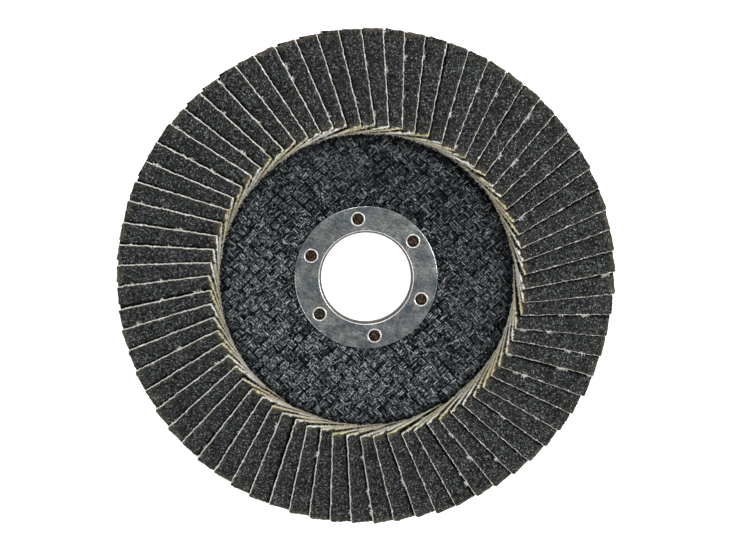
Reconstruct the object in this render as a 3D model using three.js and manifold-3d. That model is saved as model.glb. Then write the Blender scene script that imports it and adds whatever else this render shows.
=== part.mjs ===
// Abrasive flap disc for a hand-held angle grinder, 125 mm class.
//
// Seventy-two overlapping strips of coated abrasive cloth stand in a ring, bonded to a
// dished plate pressed from glass-cloth plies. A flanged steel ring lines the arbor hole.
// Millimetres, +Z up along the spin axis, abrasive side up. The origin is on the axis, in
// the face of the hub that seats against the grinder's inner flange.

import * as THREE from 'three';
import { mergeVertices } from 'three/addons/utils/BufferGeometryUtils.js';
import Module from 'manifold-3d';

const wasm = await Module();
wasm.setup();

// ---------------------------------------------------------------- driving dimensions

const DEGREE = Math.PI / 180;

// Steel arbor ring
const BORE_RADIUS = 22.23 / 2; // the standard arbor hole
const RING_RADIUS = 35.4 / 2;
const RING_THICKNESS = 0.8;
const RING_EDGE = 0.3; // rounding of the flange's rim and of the lip of the bore
const RING_HOLES = 6;
const RING_HOLE_RADIUS = 1.6;
const RING_HOLE_CIRCLE = 29.3 / 2;
const RING_HOLE_START = 38 * DEGREE;

// Dished backing plate: a flat hub, a step up, and a deck that carries the flaps and slopes
// gently back towards its rim
const PLY = 1.0;
const PLY_GAP = 0.04; // clearance between pieces that are pressed or bonded together
const PLY_COUNT = 3;
const HUB_RADIUS = 23.5;
const STEP_RADIUS = 31.0;
const STEP_HEIGHT = 5.3;
const STEP_ROUND = 1.6; // how far the bends at the foot and the top of the step reach
const DECK_FALL = Math.tan(8 * DEGREE);
const PLATE_RADIUS = 53.5;

// Adhesive and label
const BED_INNER = 36.8;
const BED_OUTER = 52.5;
const BED_THICKNESS = 0.35;
const LABEL_INNER = 33.5;
const LABEL_OUTER = 51.5;
const LABEL_THICKNESS = 0.15;

// Abrasive flaps. Each is a strip whose exposed edge runs straight out, a little way to the
// clockwise side of the axis. `INNER` and `OUTER` are distances out along the strip.
const FLAPS = 72;
const FLAP_WIDTH = 15;
const FLAP_THICKNESS = 0.97;
const FLAP_GAP = 0.12; // air between one flap and the next
const EDGE_OFFSET = 6.9; // from the axis to the line of the exposed edge
const FLAP_INNER = 37.3; // at the exposed edge
const FLAP_SLANT = 2.0; // how much nearer the axis the buried corner of the inner end is
const FLAP_OUTER = 60.7;
const FLAP_START = 3 * DEGREE;

// Facets
const PLATE_FACETS = 72;
const RING_FACETS = 60;
const HOLE_FACETS = 12;
const FLAP_STATIONS = 3; // intervals along a flap
const FLAP_STEPS = 5; // intervals across a flap

// ---------------------------------------------------------------- derived dimensions

const PLATE_THICKNESS = PLY_COUNT * PLY;
const HUB_FRONT = PLATE_THICKNESS;
const FLAP_PITCH = (2 * Math.PI) / FLAPS;

// ---------------------------------------------------------------- materials

const paint = (color, roughness, metalness = 0) =>
  new THREE.MeshStandardMaterial({ color, roughness, metalness });

const steel = () => paint(0x6f7070, 0.42, 0.9);
const glassCloth = () => paint(0x2b2d2f, 0.4);
const adhesive = () => paint(0x5a4630, 0.6);
const paper = () => paint(0xb9b2a2, 0.85);
const abrasiveCloth = () => paint(0x414340, 0.9);

// ---------------------------------------------------------------- helpers

// A solid of revolution about +Z from [radius, height] points, given so that the outline
// runs upwards on its outer side. The outline is closed here.
function turned(outline, facets) {
  const points = [...outline, outline[0]].map(([r, z]) => new THREE.Vector2(r, z));
  return new THREE.LatheGeometry(points, facets).rotateX(Math.PI / 2);
}

function toSolid(geometry) {
  const bare = geometry.clone();
  bare.deleteAttribute('normal');
  bare.deleteAttribute('uv');
  const merged = mergeVertices(bare);
  return new wasm.Manifold(new wasm.Mesh({
    numProp: 3,
    vertProperties: new Float32Array(merged.attributes.position.array),
    triVerts: new Uint32Array(merged.index.array),
  }));
}

function toGeometry(solid) {
  const { vertProperties, triVerts } = solid.getMesh();
  const geometry = new THREE.BufferGeometry();
  geometry.setAttribute('position', new THREE.BufferAttribute(vertProperties, 3));
  geometry.setIndex(new THREE.BufferAttribute(triVerts, 1));
  geometry.computeVertexNormals();
  return geometry;
}

// A closed solid through rings of equal point counts. Each ring runs anticlockwise as seen
// from the far end of the loft. `flat` holds the first ring in its own plane, for the caps.
function loft(rings, flat) {
  const count = flat.length;
  const positions = rings.flat().flatMap((point) => point.toArray());
  const faces = [];
  for (let ring = 0; ring < rings.length - 1; ring++) {
    for (let i = 0; i < count; i++) {
      const a = ring * count + i;
      const b = ring * count + ((i + 1) % count);
      faces.push(a, b, b + count, a, b + count, a + count);
    }
  }
  const last = (rings.length - 1) * count;
  for (const [a, b, c] of THREE.ShapeUtils.triangulateShape(flat, [])) {
    faces.push(a, c, b, last + a, last + b, last + c);
  }
  const geometry = new THREE.BufferGeometry();
  geometry.setAttribute('position', new THREE.Float32BufferAttribute(positions, 3));
  geometry.setIndex(faces);
  geometry.computeVertexNormals();
  return geometry;
}

const disc = new THREE.Group();

function place(name, geometry, material) {
  const mesh = new THREE.Mesh(geometry, material);
  mesh.name = name;
  disc.add(mesh);
}

// ---------------------------------------------------------------- arbor ring

// The flange lies on the hub's front face and the collar lines the hole down to the back.
function ringBlank() {
  const foot = HUB_FRONT + PLY_GAP;
  const top = foot + RING_THICKNESS;
  const collar = BORE_RADIUS + RING_THICKNESS;
  return turned([
    [BORE_RADIUS + RING_EDGE, 0],
    [collar, 0],
    [collar, foot],
    [RING_RADIUS, foot],
    [RING_RADIUS, top - RING_EDGE],
    [RING_RADIUS - RING_EDGE, top],
    [BORE_RADIUS + RING_EDGE, top],
    [BORE_RADIUS, top - RING_EDGE],
    [BORE_RADIUS, RING_EDGE],
  ], RING_FACETS);
}

// Six pierced holes key the flange to the resin of the hub.
function arborRing() {
  let ring = toSolid(ringBlank());
  for (let i = 0; i < RING_HOLES; i++) {
    const angle = RING_HOLE_START + (i * 2 * Math.PI) / RING_HOLES;
    const punch = new THREE.CylinderGeometry(
      RING_HOLE_RADIUS, RING_HOLE_RADIUS, 4 * RING_THICKNESS, HOLE_FACETS);
    punch.rotateX(Math.PI / 2);
    punch.translate(
      RING_HOLE_CIRCLE * Math.cos(angle),
      RING_HOLE_CIRCLE * Math.sin(angle),
      HUB_FRONT + RING_THICKNESS);
    ring = ring.subtract(toSolid(punch));
  }
  return toGeometry(ring);
}

place('arbor_ring', arborRing(), steel());

// ---------------------------------------------------------------- backing plate

// Height of the plate's back face where it carries the flaps.
const deckAt = (radius) => STEP_HEIGHT - DECK_FALL * (radius - STEP_RADIUS);

// One ply, `level` plies up from the back: each follows the same dished line.
function glassPly(level) {
  const low = level * PLY + (level === 0 ? 0 : PLY_GAP / 2);
  const high = (level + 1) * PLY - (level === PLY_COUNT - 1 ? 0 : PLY_GAP / 2);
  const inner = BORE_RADIUS + RING_THICKNESS + PLY_GAP;
  const rise = (STEP_HEIGHT / (STEP_RADIUS - HUB_RADIUS)) * STEP_ROUND;
  const back = [
    [inner, 0],
    [HUB_RADIUS - STEP_ROUND, 0],
    [HUB_RADIUS + STEP_ROUND, rise],
    [STEP_RADIUS - STEP_ROUND, STEP_HEIGHT - rise],
    [STEP_RADIUS + STEP_ROUND, deckAt(STEP_RADIUS + STEP_ROUND)],
    [PLATE_RADIUS, deckAt(PLATE_RADIUS)],
  ];
  return turned([
    ...back.map(([r, z]) => [r, z + low]),
    ...back.map(([r, z]) => [r, z + high]).reverse(),
  ], PLATE_FACETS);
}

['back_glass_ply', 'core_glass_ply', 'front_glass_ply'].forEach((name, level) => {
  place(name, glassPly(level), glassCloth());
});

// ---------------------------------------------------------------- adhesive and label

// A thin ring that follows the deck, `low` to `high` above the plate's back face.
function deckRing(inner, outer, low, high) {
  return turned([
    [inner, deckAt(inner) + low],
    [outer, deckAt(outer) + low],
    [outer, deckAt(outer) + high],
    [inner, deckAt(inner) + high],
  ], PLATE_FACETS);
}

const bedLow = PLATE_THICKNESS + PLY_GAP;
const bedHigh = bedLow + BED_THICKNESS;
place('adhesive_bed', deckRing(BED_INNER, BED_OUTER, bedLow, bedHigh), adhesive());

place('back_label',
  deckRing(LABEL_INNER, LABEL_OUTER, -PLY_GAP - LABEL_THICKNESS, -PLY_GAP), paper());

// ---------------------------------------------------------------- flaps

// The slope across the flaps that stacks each on the one before, `out` from the axis.
const slopeAt = (out) => (FLAP_THICKNESS + FLAP_GAP) / (out * FLAP_PITCH);

// A point of flap `index`: `out` from the axis along the flap, `across` it from its exposed
// edge, and `lift` above its underside, which falls from the exposed edge to the buried one.
function flapPoint(index, out, across, lift) {
  const heading = FLAP_START + index * FLAP_PITCH;
  const side = across - EDGE_OFFSET;
  const floor = deckAt(Math.hypot(out, side)) + bedHigh + PLY_GAP;
  return new THREE.Vector3(
    out * Math.cos(heading) - side * Math.sin(heading),
    out * Math.sin(heading) + side * Math.cos(heading),
    floor + slopeAt(out) * (FLAP_WIDTH - across) + lift);
}

// Two neighbouring flaps as one solid, the second lying on the first. The ring of points
// goes along the first flap's underside, round the second's buried edge, back over the
// second's top and down its exposed edge on to what shows of the first.
function flapPair(first) {
  const spread = Array.from({ length: FLAP_STEPS + 1 }, (_, i) =>
    (i * FLAP_WIDTH) / FLAP_STEPS);
  const outline = [
    ...spread.map((across) => [0, across, 0]),
    [0, FLAP_WIDTH, FLAP_THICKNESS],
    [1, FLAP_WIDTH, 0],
    ...spread.toReversed().map((across) => [1, across, FLAP_THICKNESS]),
    [1, 0, -FLAP_GAP],
    [0, 0, FLAP_THICKNESS],
  ];
  const rings = [];
  for (let i = 0; i <= FLAP_STATIONS; i++) {
    rings.push(outline.map(([flap, across, lift]) => {
      const inner = FLAP_INNER - (FLAP_SLANT * across) / FLAP_WIDTH;
      const out = inner + (i * (FLAP_OUTER - inner)) / FLAP_STATIONS;
      return flapPoint(first + flap, out, across, lift);
    }));
  }
  const flat = outline.map(([flap, across, lift]) => new THREE.Vector2(
    across + flap * FLAP_INNER * FLAP_PITCH,
    slopeAt(FLAP_INNER) * (FLAP_WIDTH - across) + lift));
  return loft(rings, flat);
}

for (let pair = 0; pair < FLAPS / 2; pair++) {
  const number = String(pair + 1).padStart(2, '0');
  place(`flap_pair_${number}`, flapPair(2 * pair), abrasiveCloth());
}

export default disc;
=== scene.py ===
"""Looks for an abrasive flap disc: seventy-two coated-cloth flaps on a dished glass-cloth
plate with a steel arbor ring. Sizes are in millimetres until a mesh is made."""

import math

import bpy
import numpy as np
from mathutils import Matrix, Vector


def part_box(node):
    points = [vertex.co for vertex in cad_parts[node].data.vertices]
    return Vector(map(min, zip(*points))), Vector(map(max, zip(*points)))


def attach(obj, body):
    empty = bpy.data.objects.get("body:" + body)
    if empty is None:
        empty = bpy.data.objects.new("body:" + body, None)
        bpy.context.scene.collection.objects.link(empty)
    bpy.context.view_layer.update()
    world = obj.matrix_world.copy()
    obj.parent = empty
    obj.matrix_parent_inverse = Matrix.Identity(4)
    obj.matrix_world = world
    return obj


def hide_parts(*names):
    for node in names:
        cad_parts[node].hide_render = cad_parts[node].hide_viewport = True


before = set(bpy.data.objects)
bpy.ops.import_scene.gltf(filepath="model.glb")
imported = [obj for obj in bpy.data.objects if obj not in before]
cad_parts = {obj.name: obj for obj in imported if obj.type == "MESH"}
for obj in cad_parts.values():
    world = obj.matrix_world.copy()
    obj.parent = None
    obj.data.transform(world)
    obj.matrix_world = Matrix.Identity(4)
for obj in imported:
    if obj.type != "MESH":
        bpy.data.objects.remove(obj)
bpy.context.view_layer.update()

MM = 0.001
TURN = 2 * math.pi
rng = np.random.default_rng(72)

# ------------------------------------------------------------------ sizes


def top_corner(node):
    """A node's highest corner, in millimetres."""
    return np.array(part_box(node)[1]) / MM


RING_RADIUS, _, RING_TOP = top_corner("arbor_ring")
RING_THICKNESS = 0.8
RING_SEGMENTS = 192
BORE_RADIUS = 22.23 / 2
COLLAR = BORE_RADIUS + RING_THICKNESS
RING_HOLES = 6
HOLE_CIRCLE = 29.3 / 2
HOLE_START = math.radians(38)
HOLE_RADIUS = 1.61
PUNCH_HEIGHTS = 2.0, 5.0  # the punches' ends, clear of the flange on both sides
HOLE_LIP = 0.18  # half the width of the bright lip round each hole
RIM_ROUND = 0.22  # of the flange's outer edge
LIP_ROUND = 0.23  # of the rolled lip round the bore
LIP_SETBACK = 0.42  # from the bore's wall to that lip
PLUG_RADIUS, PLUG_FOOT, PLUG_SUNK = 1.62, 2.9, 0.42  # the resin in the holes

PLY = 1.0  # one of the plate's three plies
PLY_GAP = 0.02  # each ply stops this far short of the plane between it and the next
FRONT_RESIN, BACK_RESIN = 2.82, 0.34  # heights at which the resin ends under the rovings
FRONT_WEAVE, BACK_WEAVE = 2.93, 0.38  # heights that the rovings lie at
WEAVE_INNER, FRONT_WEAVE_OUTER, BACK_WEAVE_OUTER = 13.2, 38.5, 33.6
PLATE_RADIUS = top_corner("front_glass_ply")[0]
PLATE_SEGMENTS = 180
HUB_RADIUS, STEP_RADIUS, STEP_HEIGHT = 23.5, 31.0, 5.3
STEP_ROUND = 1.6
DECK_FALL = math.tan(math.radians(8))

BED_INNER, BED_OUTER = 36.8, 52.5
BED_LOW, BED_HIGH = 3.04, 3.39
LABEL_INNER, LABEL_OUTER = 33.5, 51.5
LABEL_LOW, LABEL_HIGH = -0.15, 0.36

FLAPS = 72
FLAP_PITCH = TURN / FLAPS
FLAP_START = math.radians(3)
FLAP_WIDTH = 15.0
FLAP_INNER, FLAP_SLANT, FLAP_OUTER = 37.3, 2.0, 60.7
FLAP_MIDDLE = (FLAP_INNER + FLAP_OUTER) / 2
EDGE_OFFSET = 6.9  # of the exposed edge from the flap's own radius
FLAP_FLOOR = BED_HIGH + 0.04
STACK_STEP = 1.09  # one flap and the air above it
CLOTH = 0.55  # thickness of the cloth alone
GRIT = 0.36  # thickness of the grit on it, below its crests
GRAIN = 0.24  # width of one abrasive grain

# ------------------------------------------------------------------ camera, light, floor

VIEW_TILT = math.radians(7.5)
VIEW_SIDE = math.radians(108)
VIEW_DISTANCE = 470.0
VIEW_AIM = Vector((0.065, 0.663, 3.8))
VIEW_WIDTH = 180.9  # how much of the disc's plane the picture spans
FLOOR_HALF = 1.5  # metres, half the floor's side
FLOOR_DROP = 0.0004  # metres, how far the floor lies below the frame's zero height


def make_camera():
    """The camera looks down on the disc, tilted a little off its axis."""
    data = bpy.data.cameras.new("camera")
    data.sensor_width = 36
    data.lens = VIEW_DISTANCE * data.sensor_width / VIEW_WIDTH
    data.clip_start, data.clip_end = 0.01, 10
    camera = bpy.data.objects.new("camera", data)
    bpy.context.scene.collection.objects.link(camera)
    back = Vector((
        math.sin(VIEW_TILT) * math.cos(VIEW_SIDE),
        math.sin(VIEW_TILT) * math.sin(VIEW_SIDE),
        math.cos(VIEW_TILT),
    ))
    right = Vector((0, 1, 0)).cross(back).normalized()
    turn = Matrix((right, back.cross(right), back)).transposed().to_4x4()
    camera.matrix_world = Matrix.Translation((VIEW_AIM + back * VIEW_DISTANCE) * MM) @ turn
    bpy.context.scene.camera = camera


def area_light(name, azimuth, elevation, distance, size, power):
    """A square softbox that looks at the disc. Angles are in degrees, `distance` and `size`
    in metres and `power` in watts."""
    data = bpy.data.lights.new(name, "AREA")
    data.size = size
    data.energy = power
    light = bpy.data.objects.new(name, data)
    bpy.context.scene.collection.objects.link(light)
    turn, rise = math.radians(azimuth), math.radians(elevation)
    level = math.cos(rise)
    place = Vector((math.cos(turn) * level, math.sin(turn) * level, math.sin(rise)))
    light.location = place * distance
    light.rotation_euler = place.to_track_quat("Z", "Y").to_euler()


def make_studio():
    """A graded sky, three softboxes and a white paper floor."""
    world = bpy.data.worlds.new("studio")
    bpy.context.scene.world = world
    world.use_nodes = True
    nodes, links = world.node_tree.nodes, world.node_tree.links
    sky = nodes["Background"]
    sky.inputs["Strength"].default_value = 1.0
    # Paler towards the horizon, so that rounded rims catch a line of light all the way round.
    direction = nodes.new("ShaderNodeTexCoord")
    parts = nodes.new("ShaderNodeSeparateXYZ")
    height = nodes.new("ShaderNodeValToRGB")
    height.color_ramp.elements[0].position = 0.15
    height.color_ramp.elements[0].color = (0.95, 0.97, 1.0, 1)
    height.color_ramp.elements[1].position = 0.80
    height.color_ramp.elements[1].color = (0.20, 0.21, 0.22, 1)
    links.new(direction.outputs["Generated"], parts.inputs[0])
    links.new(parts.outputs["Z"], height.inputs["Fac"])
    links.new(height.outputs["Color"], sky.inputs["Color"])
    area_light("key", 12, 44, 0.75, 0.26, 3.4)
    area_light("rear", 98, 44, 0.80, 0.24, 2.2)
    area_light("fill", 215, 34, 0.80, 0.40, 2.6)

    floor_mesh = bpy.data.meshes.new("floor")
    half = FLOOR_HALF
    corners = [(-half, -half, 0), (half, -half, 0), (half, half, 0), (-half, half, 0)]
    floor_mesh.from_pydata(corners, [], [(0, 1, 2, 3)])
    floor = bpy.data.objects.new("floor", floor_mesh)
    bpy.context.scene.collection.objects.link(floor)
    floor.location.z = -FLOOR_DROP
    paper = bpy.data.materials.new("floor_paper")
    paper.use_nodes = True
    shader = paper.node_tree.nodes["Principled BSDF"]
    shader.inputs["Base Color"].default_value = (0.9, 0.9, 0.9, 1)
    shader.inputs["Roughness"].default_value = 0.9
    shader.inputs["Emission Color"].default_value = (1, 1, 1, 1)
    shader.inputs["Emission Strength"].default_value = 0.75
    floor_mesh.materials.append(paper)
    bpy.context.scene.view_settings.view_transform = "Standard"


# ------------------------------------------------------------------ materials


class Finish:
    """A node material on one Principled shader, patterned in the object's own space."""

    def __init__(self, name, specular=0.5, metallic=0.0):
        self.material = bpy.data.materials.new(name)
        self.material.use_nodes = True
        self.nodes = self.material.node_tree.nodes
        self.shader = self.nodes["Principled BSDF"]
        self.shader.inputs["Specular IOR Level"].default_value = specular
        self.shader.inputs["Metallic"].default_value = metallic
        self.space = self.nodes.new("ShaderNodeTexCoord").outputs["Object"]

    def link(self, output, socket):
        self.material.node_tree.links.new(output, socket)

    def feed(self, socket, value):
        """Sets a socket to a number or a colour, or links it to an output."""
        if isinstance(value, bpy.types.NodeSocket):
            self.link(value, socket)
        elif isinstance(value, tuple) and len(value) == 3:
            socket.default_value = (*value, 1)
        else:
            socket.default_value = value

    def noise(self, size, detail=3.0, roughness=0.55, space=None):
        """Fractal noise whose blotches are about `size` millimetres."""
        node = self.nodes.new("ShaderNodeTexNoise")
        self.link(space or self.space, node.inputs["Vector"])
        node.inputs["Scale"].default_value = 1 / (size * MM)
        node.inputs["Detail"].default_value = detail
        node.inputs["Roughness"].default_value = roughness
        return node.outputs["Fac"]

    def cells(self, size):
        """Voronoi cells of about `size` millimetres: a random number for each cell, and the
        distance from its centre."""
        node = self.nodes.new("ShaderNodeTexVoronoi")
        self.link(self.space, node.inputs["Vector"])
        node.inputs["Scale"].default_value = 1 / (size * MM)
        split = self.nodes.new("ShaderNodeSeparateColor")
        self.link(node.outputs["Color"], split.inputs[0])
        return split.outputs[0], node.outputs["Distance"]

    def streaks(self, turn, length):
        """The object's space drawn out `length` times along `turn`, in radians about Z."""
        node = self.nodes.new("ShaderNodeMapping")
        node.vector_type = "TEXTURE"
        self.link(self.space, node.inputs["Vector"])
        node.inputs["Rotation"].default_value = (0, 0, turn)
        node.inputs["Scale"].default_value = (length, 1, 1)
        return node.outputs["Vector"]

    def mark(self, name):
        """A number stored on the mesh's vertices."""
        node = self.nodes.new("ShaderNodeAttribute")
        node.attribute_name = name
        return node.outputs["Fac"]

    def grade(self, value, *stops):
        """Maps a number through (position, colour or grey) stops."""
        node = self.nodes.new("ShaderNodeValToRGB")
        self.link(value, node.inputs["Fac"])
        ramp = node.color_ramp
        while len(ramp.elements) < len(stops):
            ramp.elements.new(0.5)
        for element, (position, colour) in zip(ramp.elements, stops):
            element.position = position
            rgb = colour if isinstance(colour, tuple) else (colour,) * 3
            element.color = (*rgb, 1)
        return node.outputs["Color"]

    def mix(self, factor, first, second, blend="MIX"):
        """The second colour over the first, by `factor`."""
        node = self.nodes.new("ShaderNodeMix")
        node.data_type = "RGBA"
        node.blend_type = blend
        self.feed(node.inputs[0], factor)
        self.feed(node.inputs[6], first)
        self.feed(node.inputs[7], second)
        return node.outputs[2]

    def scaled(self, first, second):
        """The product of two numbers, kept between 0 and 1."""
        node = self.nodes.new("ShaderNodeMath")
        node.operation = "MULTIPLY"
        node.use_clamp = True
        self.feed(node.inputs[0], first)
        self.feed(node.inputs[1], second)
        return node.outputs[0]

    def bump(self, height, depth, strength=1.0):
        """Relief `depth` millimetres deep."""
        node = self.nodes.new("ShaderNodeBump")
        self.link(height, node.inputs["Height"])
        node.inputs["Distance"].default_value = depth * MM
        node.inputs["Strength"].default_value = strength
        return node.outputs["Normal"]

    def paint(self, colour, roughness, normal=None):
        """Feeds the shader and returns the material."""
        self.feed(self.shader.inputs["Base Color"], colour)
        self.feed(self.shader.inputs["Roughness"], roughness)
        if normal:
            self.link(normal, self.shader.inputs["Normal"])
        return self.material


def grit_finish():
    """Dark angular grains in resin, each with its own grey, the palest few painted as glints, with
    painted shade along the next flap's edge.
    """
    f = Finish("abrasive_grit", specular=0.025)
    grain, from_centre = f.cells(GRAIN)
    # The palest cells are painted highlights standing in for glints.
    grey = f.grade(grain, (0.0, 0.002), (0.25, 0.010), (0.5, 0.024), (0.75, 0.042),
                   (0.90, 0.080), (1.0, 0.26))
    cool = f.mix(f.noise(0.5, 2), (0.86, 0.99, 1.12), (1.06, 1.04, 0.88))
    grains = f.mix(1.0, grey, cool, "MULTIPLY")
    blotch = f.grade(f.noise(5.0, 4), (0.3, 0.82), (0.7, 1.18))
    grains = f.mix(1.0, grains, blotch, "MULTIPLY")
    stained = f.mix(f.scaled(f.mark("stain"), 0.85), grains, (0.20, 0.16, 0.095))
    # Painted shade: dark along the next flap's edge and inner end.
    shaded = f.mix(f.mark("crevice"), stained, (0.0, 0.0, 0.0))
    relief = f.bump(from_centre, 0.08, 0.8)
    return f.paint(shaded, f.grade(grain, (0.0, 0.8), (1.0, 0.4)), relief)


def cloth_finish():
    """Cut edge of cream cotton-polyester cloth, yellowed where resin has soaked it."""
    f = Finish("backing_cloth", specular=0.2)
    thread = f.noise(0.36, 4, 0.7)
    cream = f.grade(thread, (0.34, (0.20, 0.19, 0.16)), (0.46, (0.88, 0.88, 0.82)),
                    (0.58, (1.0, 1.0, 1.0)))
    dirty = f.grade(f.noise(0.7, 4), (0.30, 0.35), (0.52, 1.0))
    cream = f.mix(1.0, cream, dirty, "MULTIPLY")
    soaked = f.mix(f.grade(f.noise(1.8, 3), (0.50, 0.0), (0.74, 0.55)), cream, (0.72, 0.66, 0.48))
    brown = f.mix(f.grade(f.noise(0.5, 4, 0.7), (0.45, 0.0), (0.62, 1.0)), (0.72, 0.62, 0.31),
                  (0.30, 0.22, 0.09))
    stained = f.mix(f.scaled(f.mark("stain"), 0.92), soaked, brown)
    # Painted shade: dark along the next flap's edge and inner end.
    shaded = f.mix(f.scaled(f.mark("crevice"), 0.8), stained, (0.02, 0.015, 0.01))
    return f.paint(shaded, 0.85, f.bump(thread, 0.10))


def fluff_finish():
    """Loose white cotton fibres."""
    f = Finish("cotton_fluff", specular=0.2)
    return f.paint(f.mix(f.noise(0.4), (0.78, 0.77, 0.70), (1.0, 1.0, 0.96)), 0.8)


def steel_finish():
    """Stamped steel, scratched along its rolling direction and mottled with tarnish."""
    f = Finish("ring_steel", metallic=1.0)
    fine = f.noise(0.20, 3, 0.7, f.streaks(math.radians(-22), 11))
    broad = f.noise(3.2, 5)
    tone = f.grade(broad, (0.30, (0.38, 0.46, 0.50)), (0.52, (0.66, 0.69, 0.68)),
                   (0.68, (0.86, 0.87, 0.84)))
    tone = f.mix(f.grade(f.noise(1.5, 4), (0.50, 0.0), (0.74, 0.6)), tone, (0.58, 0.48, 0.36))
    tone = f.mix(0.85, tone, f.grade(fine, (0.36, 0.40), (0.62, 1.15)), "MULTIPLY")
    tone = f.mix(0.7, tone, f.grade(f.noise(0.40, 3), (0.32, 0.45), (0.58, 1.1)), "MULTIPLY")
    rough = f.grade(broad, (0.2, 0.24), (0.8, 0.38))
    return f.paint(tone, rough, f.bump(fine, 0.008, 0.4))


def rim_highlight_finish():
    """Steel of the rolled and pierced rims, painted pale as a highlight all the way round, with
    hints of brown dirt.
    """
    f = Finish("steel_painted_highlight", metallic=0.55)
    tone = f.mix(f.grade(f.noise(0.9, 4), (0.50, 0.0), (0.75, 0.7)), (0.84, 0.83, 0.79),
                 (0.38, 0.30, 0.20))
    return f.paint(tone, 0.38)


def collar_shade_finish():
    """The inside of the collar: steel painted dark, as shade down the bore, and mottled."""
    f = Finish("collar_steel_painted_shade", specular=0.15)
    tone = f.mix(f.noise(1.2, 4), (0.04, 0.036, 0.032), (0.15, 0.14, 0.12))
    return f.paint(tone, 0.55, f.bump(f.noise(0.4, 4), 0.02))


def roving_finish(name, turn):
    """Black resin-soaked glass rovings: filaments along `turn`, their crowns painted pale, partly
    for scuffing and partly as a painted highlight.
    """
    f = Finish(name, specular=0.06)
    filament = f.noise(0.24, 3, 0.6, f.streaks(turn, 4))
    patch = f.grade(f.noise(0.9, 3, 0.6), (0.32, 0.6), (0.58, 1.0))
    crown = f.scaled(f.mark("crown"), patch)
    dark = f.grade(filament, (0.40, (0.0, 0.0, 0.001)), (0.62, (0.005, 0.006, 0.007)))
    pale_crown = f.grade(filament, (0.40, (0.004, 0.005, 0.006)), (0.50, (0.060, 0.067, 0.072)),
                   (0.60, (0.50, 0.54, 0.56)))
    # Crowns painted pale: part wear, part painted highlight.
    tone = f.mix(crown, dark, pale_crown)
    tone = f.mix(f.grade(f.noise(2.5, 3), (0.55, 0.0), (0.8, 0.2)), tone, (0.050, 0.047, 0.030))
    rough = f.grade(f.noise(0.6, 3), (0.3, 0.10), (0.7, 0.25))
    return f.paint(tone, rough, f.bump(filament, 0.03, 0.5))


def resin_finish():
    """Black phenolic resin."""
    f = Finish("black_resin", specular=0.03)
    tone = f.mix(f.noise(1.2, 4), (0.001, 0.001, 0.002), (0.008, 0.008, 0.009))
    return f.paint(tone, f.grade(f.noise(0.9), (0.3, 0.2), (0.7, 0.5)),
                   f.bump(f.noise(0.35, 4), 0.04, 0.6))


def plug_finish():
    """Brown-black resin and fibre squeezed up into the ring's holes."""
    f = Finish("hole_resin", specular=0.15)
    tone = f.grade(f.noise(0.7, 5, 0.65), (0.42, 0.003), (0.54, (0.030, 0.017, 0.009)),
                   (0.68, (0.22, 0.13, 0.06)))
    return f.paint(tone, 0.4, f.bump(f.noise(0.3, 4), 0.15))


def adhesive_finish():
    """Cured brown epoxy."""
    f = Finish("brown_adhesive", specular=0.5)
    tone = f.mix(f.noise(1.0, 4), (0.06, 0.035, 0.015), (0.20, 0.13, 0.06))
    return f.paint(tone, 0.35, f.bump(f.noise(0.6, 4), 0.15))


def label_finish():
    """Uncoated label paper, a little soiled, with no print."""
    f = Finish("label_paper", specular=0.2)
    tone = f.mix(f.noise(4.0, 5), (0.50, 0.47, 0.40), (0.66, 0.63, 0.56))
    tone = f.mix(f.grade(f.noise(1.5, 6), (0.58, 0.0), (0.75, 0.5)), tone, (0.22, 0.20, 0.17))
    return f.paint(tone, 0.8, f.bump(f.noise(0.08, 3), 0.02))


# ------------------------------------------------------------------ mesh helpers


class Piece:
    """Collects the vertices and faces of one piece, with a material for each face."""

    def __init__(self, *materials):
        self.materials = materials
        self.points, self.faces, self.slots, self.smooth = [], [], [], []
        self.marks = {}
        self.count = 0

    def add(self, points, faces, slot=0, smooth=True, **marks):
        """Adds points and faces, with a number for each point under each name in `marks`."""
        points = np.asarray(points, float).reshape(-1, 3)
        if isinstance(faces, np.ndarray):
            faces = (faces + self.count).tolist()
        else:
            faces = [[i + self.count for i in face] for face in faces]
        self.points.append(points)
        self.faces += faces
        self.slots += np.broadcast_to(slot, len(faces)).tolist()
        self.smooth += np.broadcast_to(smooth, len(faces)).tolist()
        for name, values in marks.items():
            layer = self.marks.setdefault(name, [np.zeros(self.count)])
            layer.append(np.broadcast_to(np.asarray(values, float).ravel(), len(points)))
        self.count += len(points)
        for name, layer in self.marks.items():
            missing = self.count - sum(len(part) for part in layer)
            if missing:
                layer.append(np.zeros(missing))

    def make(self, name, slot, *nodes):
        """Makes the object, which rides on the disc and stands for the CAD `nodes`."""
        mesh = bpy.data.meshes.new(name)
        mesh.from_pydata((np.concatenate(self.points) * MM).tolist(), [], self.faces)
        for material in self.materials:
            mesh.materials.append(material)
        mesh.polygons.foreach_set("material_index", self.slots)
        mesh.polygons.foreach_set("use_smooth", self.smooth)
        for key, layer in self.marks.items():
            attribute = mesh.attributes.new(key, "FLOAT", "POINT")
            attribute.data.foreach_set("value", np.concatenate(layer))
        obj = bpy.data.objects.new(name, mesh)
        bpy.context.scene.collection.objects.link(obj)
        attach(obj, "root")
        if nodes:
            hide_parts(*nodes)
        return obj


def grid_faces(rows, columns, wrap=False):
    """Quads of a row-major grid, rows first. With `wrap`, both ways close on themselves."""
    index = np.arange(rows * columns).reshape(rows, columns)
    if wrap:
        index = np.vstack([index, index[:1]])
        index = np.hstack([index, index[:, :1]])
    return np.stack([index[:-1, :-1], index[1:, :-1], index[1:, 1:], index[:-1, 1:]],
                    -1).reshape(-1, 4)


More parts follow.
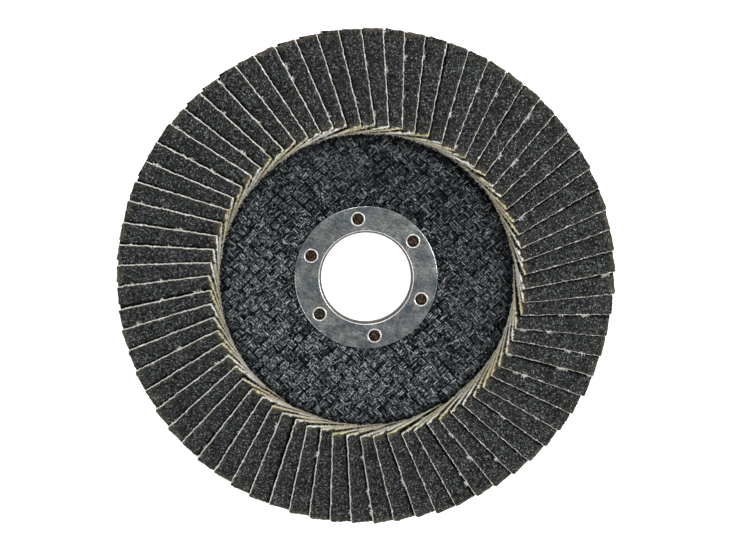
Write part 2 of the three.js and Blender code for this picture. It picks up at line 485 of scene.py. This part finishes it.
def turned(outline, segments, wobble=None):
    """Points and faces of a closed (radius, height) outline turned about Z. The outline runs
    upwards on its outer side. `wobble` moves the points of the (outline, angle) grid."""
    outline = np.asarray(outline, float)
    angle = np.arange(segments) * TURN / segments
    radius = np.repeat(outline[:, :1], segments, 1)
    height = np.repeat(outline[:, 1:], segments, 1)
    if wobble:
        radius, height = wobble(radius, height, np.broadcast_to(angle, radius.shape))
    points = np.stack([radius * np.cos(angle), radius * np.sin(angle), height], -1)
    return points, grid_faces(len(outline), segments, wrap=True)[:, ::-1]


def waves(x, sizes, strength):
    """Smooth random wobble along x: a few sines of the given wavelengths."""
    total = np.zeros_like(x)
    for size in sizes:
        total = total + np.sin(TURN * (x / size + rng.random()))
    return strength * total / len(sizes)


def arc(centre, radius, start, stop, steps):
    """Points of an arc in the (radius, height) plane, angles in degrees."""
    turn = np.radians(np.linspace(start, stop, steps))
    return [(centre[0] + radius * math.cos(t), centre[1] + radius * math.sin(t)) for t in turn]


def dish(radius):
    """Height of the plate's dished line over its back face, with the two bends rounded."""
    radius = np.asarray(radius, float)
    slope = STEP_HEIGHT / (STEP_RADIUS - HUB_RADIUS)

    def bend(at, change):
        low = np.clip(radius - (at - STEP_ROUND), 0, 2 * STEP_ROUND)
        return change * (low**2 / (4 * STEP_ROUND) + np.maximum(radius - at - STEP_ROUND, 0))

    return bend(HUB_RADIUS, slope) + bend(STEP_RADIUS, -slope - DECK_FALL)


# ------------------------------------------------------------------ steel ring


def make_ring(steel, rim_highlight_steel, collar_shade):
    """The flange and collar, with rounded rims, six pierced holes and their lips; the lips round
    the holes and the bore are painted pale as a highlight, the inside of the collar dark as
    painted shade.
    """
    foot = RING_TOP - RING_THICKNESS
    rim = (RING_RADIUS - RIM_ROUND, RING_TOP - RIM_ROUND)
    lip = (BORE_RADIUS + LIP_SETBACK + LIP_ROUND, RING_TOP - LIP_ROUND)
    outline = [(COLLAR, 0.0), (COLLAR, foot), (RING_RADIUS, foot)]
    outline += arc(rim, RIM_ROUND, 0, 90, 6)
    outline += [(RING_RADIUS - 2.0, RING_TOP - 0.01), (BORE_RADIUS + 2.2, RING_TOP - 0.02),
                (BORE_RADIUS + 1.05, RING_TOP - 0.05)]
    rolled = len(outline)
    outline += arc(lip, LIP_ROUND, 85, 150, 8)
    inside = len(outline) - 1
    # Down the bore: the lip's hollow side, the wall, and the collar's flared and rounded foot.
    outline += [(BORE_RADIUS + 0.10, RING_TOP - 0.50), (BORE_RADIUS, RING_TOP - 0.8),
                (BORE_RADIUS, 1.7), (BORE_RADIUS + 0.25, 0.35)]
    outline += arc((BORE_RADIUS + 0.45, 0.2), 0.2, 180, 270, 4)
    blank = Piece(steel, rim_highlight_steel, collar_shade)
    points, faces = turned(outline, RING_SEGMENTS)
    row = np.arange(len(outline)).repeat(RING_SEGMENTS)
    # Slot 1, the rolled lip round the bore, takes the pale finish, a painted highlight; slot 2,
    # down the bore, the dark one, painted shade.
    blank.add(points, faces, np.select([row >= inside, row >= rolled], [2, 1]))
    ring = blank.make("steel_arbor_ring", "steel_ring", "arbor_ring")

    punches = Piece(steel)
    low, high = PUNCH_HEIGHTS
    for k in range(RING_HOLES):
        punch = [(0.001, low), (HOLE_RADIUS, low), (HOLE_RADIUS, high), (0.001, high)]
        points, faces = turned(punch, 32)
        punches.add(points + hole_centre(k), faces)
    cutter = punches.make("punches", "steel_ring")
    cut = ring.modifiers.new("holes", "BOOLEAN")
    cut.object = cutter
    cut.solver = "EXACT"
    depsgraph = bpy.context.evaluated_depsgraph_get()
    pierced = bpy.data.meshes.new_from_object(ring.evaluated_get(depsgraph))
    pierced.set_sharp_from_angle(angle=math.radians(35))
    ring.modifiers.clear()
    ring.data = pierced
    bpy.data.objects.remove(cutter)

    # The beads round the holes take the pale finish, a painted highlight.
    lips = Piece(rim_highlight_steel)
    for k in range(RING_HOLES):
        profile = arc((HOLE_RADIUS, RING_TOP - 0.03), HOLE_LIP, -90, 270, 13)[:-1]
        points, faces = turned(profile, 40)
        lips.add(points + hole_centre(k), faces)
    lips.make("hole_lips", "steel_ring")


def hole_centre(k):
    """Where the ring's hole number `k` is."""
    angle = HOLE_START + k * TURN / RING_HOLES
    return np.array([HOLE_CIRCLE * math.cos(angle), HOLE_CIRCLE * math.sin(angle), 0.0])


def make_plugs(finish):
    """Resin that stands in the six holes, just below the ring's face."""
    top = RING_TOP - PLUG_SUNK
    outline = [(0.01, PLUG_FOOT), (PLUG_RADIUS, PLUG_FOOT), (PLUG_RADIUS, top - 0.12),
               (1.3, top), (0.9, top + 0.05), (0.5, top + 0.06), (0.01, top + 0.05)]

    def rough(radius, height, angle):
        upper = (height > PLUG_FOOT) & (radius > 0.1)
        return radius, height + waves(angle * 1.3, (1.1, 2.3), 0.07) * upper

    plugs = Piece(finish)
    for k in range(RING_HOLES):
        points, faces = turned(outline, 24, rough)
        plugs.add(points + hole_centre(k), faces)
    plugs.make("hole_resin", "glass_cloth")


# ------------------------------------------------------------------ backing plate


def dished_body(inner, outer, low, high):
    """A turned solid between two heights over the dished line."""
    bends = [np.linspace(at - STEP_ROUND, at + STEP_ROUND, 7) for at in (HUB_RADIUS, STEP_RADIUS)]
    radii = np.concatenate([[inner], *bends, [outer]])
    radii = radii[(radii >= inner) & (radii <= outer)]
    line = dish(radii)
    lower = np.stack([radii, line + low], -1)
    upper = np.stack([radii, line + high], -1)[::-1]
    return turned(np.vstack([lower, upper]), PLATE_SEGMENTS)


PITCH = 2.25  # between neighbouring rovings
WARP, WEFT = math.radians(42), math.radians(134)  # the rovings' two directions
CORD_WIDTH = 1.76  # of one roving
STRANDS = 3  # in one roving
STEP = PITCH / 8  # between two sections of a strand
SHORTEST = 3  # a stretch of no more sections than this is left out
PALEST_SIDE = math.radians(235)  # the side of the dish towards which the crowns are painted palest
SHADE_RADIUS, SHADE_FADE = 36.2, 2.4  # painted shade: no pale crowns outside this radius, by the flaps' inner ends, and the run up to full paleness
PRESSED, PRESSED_RADIUS, PRESSED_FADE = 0.20, 18.7, 1.2  # how the ring presses the weave down
UPPER_CORNERS = np.array([0, 1, 1, 0, 0])  # of a strand's section, where it is painted pale: its top, for wear and as a painted highlight


def tube(piece, turn, along, across, lift, size, level, flip, mark):
    """One closed strand that follows the dished plate. `flip` is 1 on the front, -1 on the
    back, and `mark` is how pale each section's top is painted, partly for wear and partly as a
    painted highlight."""
    section = np.array([(-0.5, 0.0), (-0.25, 0.34), (0.25, 0.34), (0.5, 0.0), (0.0, -0.25)])
    across = across[:, None] + size[:, None] * section[:, 0]
    x = along[:, None] * math.cos(turn) - across * math.sin(turn)
    y = along[:, None] * math.sin(turn) + across * math.cos(turn)
    radius = np.hypot(x, y)
    sunk = PRESSED * np.clip((PRESSED_RADIUS - radius) / PRESSED_FADE, 0, 1)
    z = dish(radius) + level + flip * (lift[:, None] + size[:, None] * section[:, 1] - sunk)
    rows, columns = across.shape
    index = np.arange(rows * columns).reshape(rows, columns)
    index = np.hstack([index, index[:, :1]])
    faces = np.stack([index[:-1, :-1], index[:-1, 1:], index[1:, 1:], index[1:, :-1]],
                     -1).reshape(-1, 4)
    ends = [index[0, -2::-1].tolist(), index[-1, :-1].tolist()]
    if flip < 0:
        faces = faces[:, ::-1]
        ends = [end[::-1] for end in ends]
    # Paler towards one side of the dish.
    paleness = 1 + 0.35 * np.cos(np.arctan2(y, x) - PALEST_SIDE)
    # Painted shade: the crowns go dark near the flaps' inner ends.
    paleness *= np.clip((SHADE_RADIUS - radius) / SHADE_FADE, 0, 1)
    crown = mark[:, None] * UPPER_CORNERS * paleness
    piece.add(np.stack([x, y, z], -1), faces.tolist() + ends, crown=crown)


def weave(name, node, material, turn, crossed, outer, level, flip, parity):
    """Parallel rovings across the plate, each a flat bundle of strands that goes over and
    under those that run along `crossed`, with loose strands on it and along its edges."""
    piece, loose = Piece(material), Piece(material)
    count = int(outer / PITCH)
    for number in range(-count, count + 1):
        middle = number * PITCH
        end = math.sqrt(outer**2 - middle**2)
        along = np.arange(-end, end, STEP)
        clear = np.abs(along) > math.sqrt(max(WEAVE_INNER**2 - middle**2, 0))
        drift = middle + waves(along, (33.0, 21.0), 0.16) + waves(along, (8.0, 5.0), 0.05)
        side = (-1) ** (number + parity)
        met = (middle * math.cos(crossed - turn) - along * math.sin(crossed - turn)) / PITCH
        phase = side * np.cos(math.pi * met)
        crown = np.tanh(2.6 * phase)
        crossing = np.round(met).astype(int)
        crossing -= crossing.min()
        pads = rng.uniform(0.5, 1.0, crossing.max() + 1)
        tilt = waves(along, (5.1, 7.7), 0.06)
        width = CORD_WIDTH * (1 + waves(along, (6.0, 3.4), 0.06))
        for place in range(STRANDS):
            at = (place + 0.5) / STRANDS - 0.5
            lift = 0.15 * crown + tilt * at * 2 + rng.normal(0, 0.025) + waves(along, (3.1,), 0.02)
            size = width / STRANDS * (1.0 + waves(along, (4.0, 2.3), 0.15))
            shares = pads * rng.uniform(0.15, 1.35, len(pads))
            mark = np.clip(4 * phase - 0.9, 0, 1) * shares[crossing]
            for run in (clear & (along < 0), clear & (along > 0)):
                if run.sum() > SHORTEST:
                    tube(piece, turn, along[run], (drift + at * width)[run], lift[run], size[run],
                         level, flip, mark[run])
        for edge, spacing in ((-0.56, 3.0), (-0.12, 12.0), (0.2, 12.0), (0.56, 3.0)):
            start = -end + rng.exponential(3.0)
            while start < end - 2:
                stop = min(start + rng.uniform(1.5, 7.0), end)
                run = clear & (along > start) & (along < stop)
                if run.any():
                    run &= np.sign(along) == np.sign(along[run][0])
                if run.sum() > SHORTEST:
                    bend = rng.uniform(0.25, 0.85)
                    lift = 0.10 * bend * crown + 0.17 + waves(along, (4.0,), 0.03)
                    size = np.full(len(along), rng.uniform(0.13, 0.24))
                    mark = np.full(len(along), rng.uniform(0.6, 2.4))
                    tube(loose, turn, along[run], (drift + edge * width)[run], lift[run],
                         size[run], level, flip, mark[run])
                start = stop + rng.exponential(spacing) + 0.5
    piece.make(name, "glass_cloth", node)
    loose.make(name + "_loose", "glass_cloth", node)


def make_plate(resin, warp, weft):
    """Three plies of resin, the outer two with woven rovings on their faces."""
    bodies = (
        ("front_ply_resin", "front_glass_ply", 2 * PLY + PLY_GAP, FRONT_RESIN),
        ("core_ply", "core_glass_ply", PLY + PLY_GAP, 2 * PLY - PLY_GAP),
        ("back_ply_resin", "back_glass_ply", BACK_RESIN, PLY - PLY_GAP),
    )
    for name, node, low, high in bodies:
        body = Piece(resin)
        body.add(*dished_body(COLLAR + 0.04, PLATE_RADIUS, low, high))
        body.make(name, "glass_cloth", node)
    for side, level, flip, node, outer in (
        ("front", FRONT_WEAVE, 1, "front_glass_ply", FRONT_WEAVE_OUTER),
        ("back", BACK_WEAVE, -1, "back_glass_ply", BACK_WEAVE_OUTER),
    ):
        weave(f"{side}_warp", node, warp, WARP, WEFT, outer, level, flip, 0)
        weave(f"{side}_weft", node, weft, WEFT, WARP, outer, level, flip, 1)


def make_bed(finish):
    """Adhesive under the flaps, with an uneven bead squeezed out at its inner edge."""
    def ooze(radius, height, angle):
        edge = np.clip(1 - (radius - BED_INNER) / 0.8, 0, 1)
        return radius - edge * (0.25 + waves(angle * BED_INNER, (5.0, 2.3, 11.0), 0.30)), height

    radii = np.array([BED_INNER, BED_INNER + 0.5, BED_INNER + 1.2, BED_OUTER])
    line = dish(radii)
    lower = np.stack([radii, line + BED_LOW], -1)
    upper = np.stack([radii, line + BED_HIGH - np.array([0.12, 0.02, 0, 0])], -1)[::-1]
    bed = Piece(finish)
    bed.add(*turned(np.vstack([lower, upper]), 360, ooze))
    bed.make("adhesive", "adhesive", "adhesive_bed")


def make_label(finish):
    """A thin blank paper ring on the machine side."""
    label = Piece(finish)
    label.add(*dished_body(LABEL_INNER, LABEL_OUTER, LABEL_LOW, LABEL_HIGH))
    label.make("paper_label", "label_paper", "back_label")


# ------------------------------------------------------------------ flaps

LEAN = 0.19  # how far a cut edge leans out at its foot
ROWS = 128  # along a flap
FINE, COARSE = 34, 4  # columns across the part that shows, and across the rest
JOG = 0.36  # how far a grain may stray, as a share of its cell of the mesh
PAINTED_SHADE_WIDTH = 0.50  # width of the painted shade line along the next flap's edge
GRIT_SLOT, CLOTH_SLOT, FLUFF_SLOT = 0, 1, 2  # a flap's materials


class Flap:
    """The surface of one flap: `out` from the axis along it, `across` it from its exposed
    edge, and `lift` above its underside."""

    def __init__(self, number):
        self.heading = FLAP_START + number * FLAP_PITCH
        self.swing = math.tan(math.radians(np.clip(rng.normal(0, 0.35), -0.8, 0.8)))
        self.slide = np.clip(rng.normal(0, 0.10), -0.2, 0.2)
        self.inner = FLAP_INNER + np.clip(rng.normal(0, 0.14), -0.3, 0.3)
        self.outer = FLAP_OUTER + np.clip(rng.normal(0, 0.10), -0.25, 0.2)
        self.bends = rng.random(4)

    def inner_at(self, across):
        """Where the slanted inner end is."""
        return self.inner - FLAP_SLANT * across / FLAP_WIDTH

    def wobble(self, out):
        """How far the cut edge strays sideways."""
        a, b, c = self.bends[:3]
        return (0.03 * np.sin(TURN * (out / 9.0 + a)) + 0.02 * np.sin(TURN * (out / 3.7 + b))
                + 0.02 * np.sin(TURN * (out / 1.6 + c)))

    def curl(self, out):
        """How far the exposed edge stands up from the flap below."""
        a, d = self.bends[[0, 3]]
        return 0.05 + 0.05 * np.sin(TURN * (out / 14.0 + d)) + 0.03 * np.sin(TURN * (out / 5 + a))

    def point(self, out, across, lift):
        """A point of the flap in the disc's frame."""
        near = np.clip(1 - across / 3.0, 0, 1.5)
        side = across - EDGE_OFFSET + self.slide + self.swing * (out - FLAP_MIDDLE)
        side = side + self.wobble(out) * near
        x = out * math.cos(self.heading) - side * math.sin(self.heading)
        y = out * math.sin(self.heading) + side * math.cos(self.heading)
        slope = STACK_STEP / (out * FLAP_PITCH)
        floor = dish(np.hypot(out, across - EDGE_OFFSET)) + FLAP_FLOOR
        z = floor + slope * (FLAP_WIDTH - across) + lift + self.curl(out) * near**2
        return np.stack([x, y, z], -1)


def ragged(count, window, strength):
    """Random steps smoothed over a few neighbours."""
    noise = np.convolve(rng.normal(0, 1, count + window - 1), np.ones(window), "valid")
    return strength * noise / math.sqrt(window)


def flap_body(piece, flap):
    """Cloth with a coat of grit that stops a little short of the cut edges."""
    part = np.linspace(0, 1, ROWS)[:, None]
    shown = (FLAP_INNER + part * (FLAP_OUTER - FLAP_INNER)) * FLAP_PITCH * 1.16
    fine = shown * np.linspace(0, 1, FINE) ** 1.15
    rest = shown + (FLAP_WIDTH - shown) * np.linspace(0, 1, COARSE + 1)[1:]
    across = np.hstack([fine, rest])
    columns = across.shape[1]
    inner = flap.inner_at(across)
    corner = 0.15 * np.clip(1 - across / 0.7, 0, 1) ** 2
    out = inner + part * (flap.outer - corner - inner)

    fray = rng.normal(0, 1, (ROWS, columns))
    margin = 0.13 + 0.07 * np.sin(TURN * (out / 4.1 + flap.bends[2])) + 0.11 * fray
    end_margin = 0.52 + 0.14 * np.sin(TURN * (across / 2.3 + flap.bends[1])) + 0.14 * fray
    grit = (across > margin) & (out - inner > end_margin)

    # Grains: loose vertices in the shown part, pushed about and up by different amounts.
    loose = np.zeros((ROWS, columns))
    loose[1:-1, 1:FINE] = 1
    step_out = (FLAP_OUTER - FLAP_INNER) / ROWS
    jog_out = rng.uniform(-JOG, JOG, (ROWS, columns)) * step_out * loose
    jog_across = rng.uniform(-JOG, JOG, (ROWS, columns)) * shown / FINE * loose
    grain = rng.beta(1.3, 2.2, (ROWS, columns)) * 0.15 * (0.4 + 0.6 * loose)
    lift = CLOTH + rng.uniform(-0.02, 0.02, (ROWS, columns)) + grit * (GRIT - 0.05 + grain)
    jog_across[:, 0] = rng.normal(0, 0.025, ROWS) + ragged(ROWS, 3, 0.045)
    jog_out[0, :] = rng.normal(0, 0.03, columns) + ragged(columns, 3, 0.05)
    jog_out[-1, :] = rng.normal(0, 0.04, columns) + ragged(columns, 3, 0.06)

    top = flap.point(out + jog_out, across + jog_across, lift)
    faces = grid_faces(ROWS, columns)
    grit_face = grit.ravel()[faces].any(1)
    stain = (1.3 * np.exp(-(out - inner) / 0.6) + 0.25 * np.exp(-across / 0.3)
             + 0.45 * np.exp(-(flap.outer - out) / 0.8))
    stain = stain * (0.55 + 0.45 * np.sin(TURN * (out / 3.1 + flap.bends[0])))
    # How far each point is from the next flap, which lies on this one.
    side = across - EDGE_OFFSET
    next_out = out * math.cos(FLAP_PITCH) + side * math.sin(FLAP_PITCH)
    next_across = side * math.cos(FLAP_PITCH) - out * math.sin(FLAP_PITCH) + EDGE_OFFSET
    gap = np.maximum(-next_across - LEAN, flap.inner_at(next_across) - next_out)
    # Painted shade: dark within this width of the next flap's edge and inner end.
    crevice = np.clip(1 - gap / PAINTED_SHADE_WIDTH, 0, 1) ** 0.5
    piece.add(top, faces, np.where(grit_face, GRIT_SLOT, CLOTH_SLOT), ~grit_face,
              stain=np.clip(stain, 0, 1), crevice=0.98 * crevice)

    # Cut faces and underside. A cut square to the tilted strip leans out at its foot.
    start = piece.count - ROWS * columns
    grid = start + np.arange(ROWS * columns).reshape(ROWS, columns)
    exposed = flap.point(out[:, 0], jog_across[:, 0] - LEAN, 0.0)
    buried = flap.point(out[:, -1], np.full(ROWS, FLAP_WIDTH - 0.1), 0.0)
    low = piece.count
    left, right = low + np.arange(ROWS), low + ROWS + np.arange(ROWS)
    walls = [
        np.stack([grid[:-1, 0], left[:-1], left[1:], grid[1:, 0]], -1),
        np.stack([grid[:-1, -1], grid[1:, -1], right[1:], right[:-1]], -1),
        np.stack([left[:-1], right[:-1], right[1:], left[1:]], -1),
    ]
    faces = np.vstack(walls).tolist()
    ends = [grid[0].tolist() + [int(right[0]), int(left[0])],
            grid[-1, ::-1].tolist() + [int(left[-1]), int(right[-1])]]
    slots = [CLOTH_SLOT] * (len(faces) + 1) + [GRIT_SLOT]
    faces = [[i - low for i in face] for face in faces + ends]
    mark = np.concatenate([stain[:, 0], stain[:, -1]])
    piece.add(np.vstack([exposed, buried]), faces, slots, False, stain=np.clip(mark, 0, 1))


def fibre(piece, path, thickness, slot):
    """One loose fibre: a three-sided tube that tapers along its path."""
    count = len(path)
    taper = thickness * np.linspace(1, 0.35, count)[:, None]
    spin = np.array([0, TURN / 3, 2 * TURN / 3])
    run = np.gradient(path, axis=0)
    run /= np.linalg.norm(run, axis=1, keepdims=True) + 1e-9
    level = np.cross(run, (0.0, 0.0, 1.0))
    level /= np.linalg.norm(level, axis=1, keepdims=True) + 1e-9
    rise = np.cross(level, run)
    ring = (path[:, None] + taper[:, None] * (level[:, None] * np.cos(spin)[None, :, None]
                                              + rise[:, None] * np.sin(spin)[None, :, None]))
    index = np.arange(count * 3).reshape(count, 3)
    index = np.hstack([index, index[:, :1]])
    faces = np.stack([index[:-1, :-1], index[1:, :-1], index[1:, 1:], index[:-1, 1:]],
                     -1).reshape(-1, 4).tolist()
    piece.add(ring, faces + [[0, 1, 2], index[-1, 2::-1].tolist()], slot)


def frays(piece, flap, number, centre, spread, length, thickness, slot):
    """Fibres that stick out of the exposed edge round `centre`, over the flap below."""
    steps = 4
    part = np.linspace(0, 1, steps + 1)
    for _ in range(number):
        out = centre + spread * rng.uniform(-1, 1)
        if not flap.inner + 0.2 < out < flap.outer - 0.1:
            continue
        size = length * rng.uniform(0.3, 1.25)
        yaw = rng.normal(0, 0.9)
        bend = rng.normal(0, 0.9)
        turn = yaw + bend * part
        step = size / steps
        reach_out = out + np.cumsum(np.sin(turn)) * step
        reach_across = 0.12 - np.cumsum(np.cos(turn)) * step
        lift = rng.uniform(0.08, CLOTH) + np.cumsum(rng.normal(0.02, 0.05, steps + 1))
        path = flap.point(reach_out, reach_across, np.maximum(lift, -0.02))
        fibre(piece, path, thickness, slot)


def end_frays(piece, flap, at, outward, number, length, slot, span=4.5):
    """Fibres that stick out of a flap's inner or outer end, up to `span` from its exposed
    edge. `outward` is 1 at the outer end and -1 at the inner one."""
    steps = 3
    part = np.linspace(0, 1, steps + 1)
    for _ in range(number):
        across = rng.uniform(0.0, span)
        start = at if outward > 0 else flap.inner_at(across)
        size = length * rng.uniform(0.4, 1.2)
        turn = rng.normal(0, 0.6) + rng.normal(0, 0.5) * part
        step = size / steps
        reach_out = start - 0.1 * outward + outward * np.cumsum(np.cos(turn)) * step
        reach_across = across + np.cumsum(np.sin(turn)) * step
        lift = rng.uniform(0.1, 0.8) + np.cumsum(rng.normal(0, 0.04, steps + 1))
        fibre(piece, flap.point(reach_out, reach_across, lift), rng.uniform(0.025, 0.055), slot)


def make_flaps(grit, cloth, fluff):
    """The ring of flaps, each with its frays and tufts of cotton."""
    for number in range(FLAPS):
        flap = Flap(number)
        piece = Piece(grit, cloth, fluff)
        flap_body(piece, flap)
        middle = (flap.inner + flap.outer) / 2
        half = (flap.outer - flap.inner) / 2
        frays(piece, flap, 18, middle, half, 0.38, 0.03, CLOTH_SLOT)
        for _ in range(rng.poisson(1.5)):
            size = rng.uniform(0.35, 1.0)
            place = rng.uniform(flap.inner + 0.5, flap.outer - 0.5)
            frays(piece, flap, int(26 * size) + 6, place, 0.15 + 0.45 * size,
                  0.35 + 0.45 * size, 0.07, FLUFF_SLOT)
        end_frays(piece, flap, flap.inner, -1, 60, 0.45, CLOTH_SLOT, span=12.0)
        end_frays(piece, flap, flap.outer, 1, 16, 0.40, GRIT_SLOT)
        end_frays(piece, flap, flap.outer, 1, rng.integers(4, 30), 0.45, CLOTH_SLOT)
        end_frays(piece, flap, flap.outer, 1, rng.integers(0, 4), 1.0, GRIT_SLOT)
        end_frays(piece, flap, flap.outer, 1, rng.integers(0, 4), 1.0, CLOTH_SLOT)
        piece.make(f"flap_{number + 1:02d}", "abrasive_cloth", f"flap_pair_{number // 2 + 1:02d}")


# ------------------------------------------------------------------ the disc

make_camera()
make_studio()
make_ring(steel_finish(), rim_highlight_finish(), collar_shade_finish())
make_plugs(plug_finish())
make_plate(resin_finish(), roving_finish("warp_roving", WARP), roving_finish("weft_roving", WEFT))
make_bed(adhesive_finish())
make_label(label_finish())
make_flaps(grit_finish(), cloth_finish(), fluff_finish())
